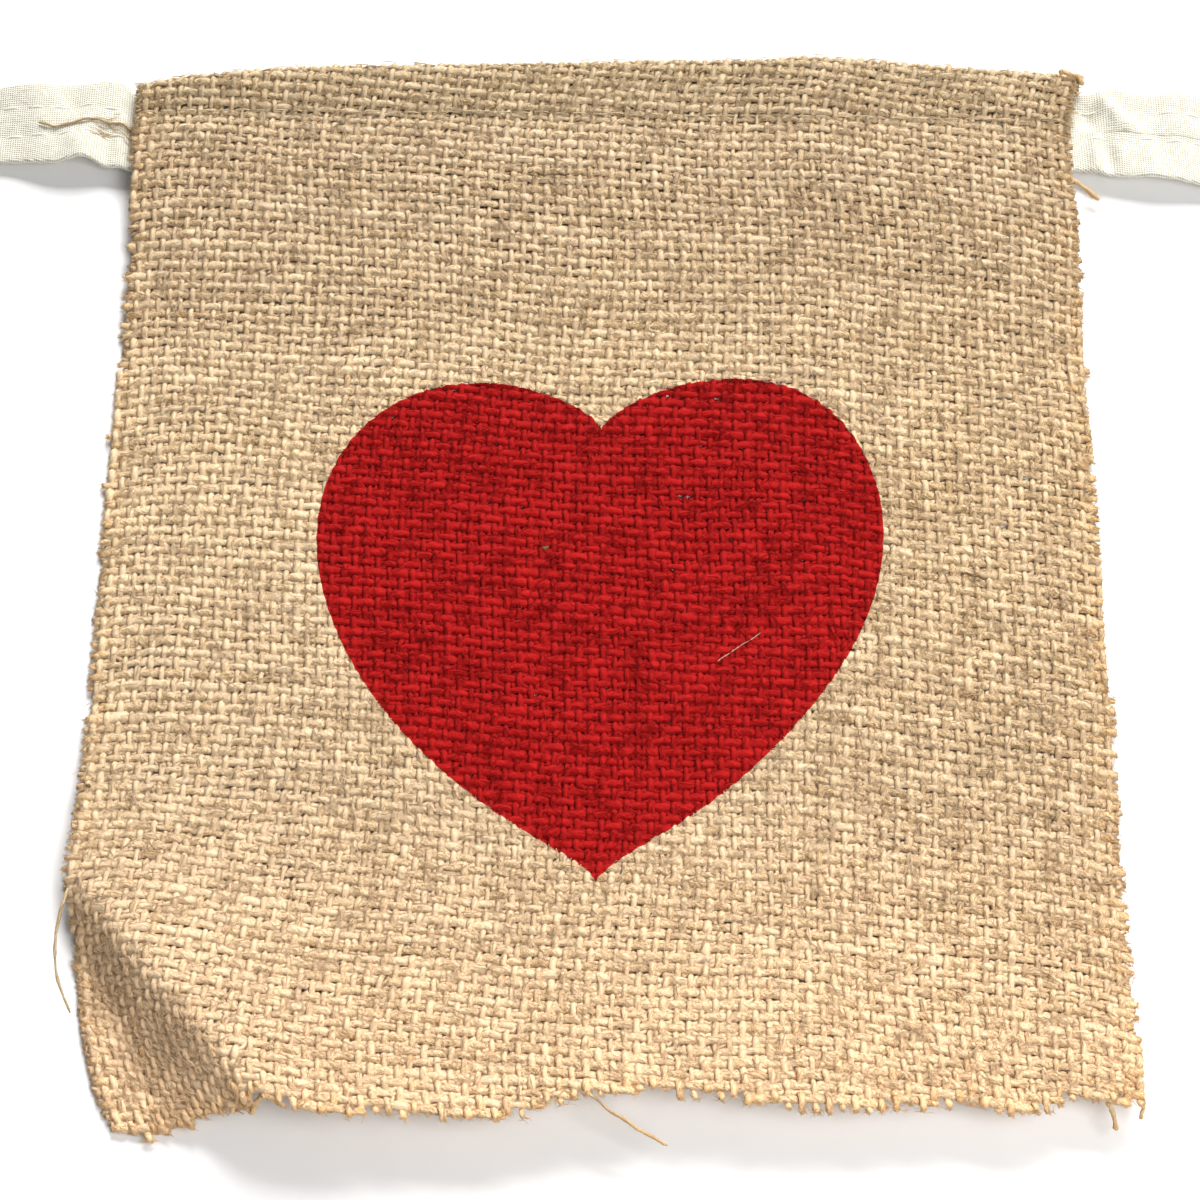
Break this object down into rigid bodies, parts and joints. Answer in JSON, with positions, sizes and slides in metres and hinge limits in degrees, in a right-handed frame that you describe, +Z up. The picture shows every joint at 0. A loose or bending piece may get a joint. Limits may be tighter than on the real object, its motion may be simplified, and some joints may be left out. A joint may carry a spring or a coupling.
{
  "type": "fabric bunting flag",
  "caption": "Rectangular burlap bunting flag, folded over a cotton tape and sewn through, with a raw lifted bottom edge and a printed motif.",
  "frame": {"origin": "middle of the outline, on the surface that the bunting lies on", "axes": "+X along the tape to the right of the printed face, +Y from the raw bottom edge to the folded top edge, +Z up out of the printed face"},
  "size_m": [0.246, 0.2173, 0.0113],
  "materials": {
    "burlap": "coarse plain weave of natural jute, with a red printed motif",
    "calico": "unbleached cotton plain weave, matte"
  },
  "bodies": {
    "root": {"flag": "burlap", "tape": "calico"}
  },
  "joints": []
}
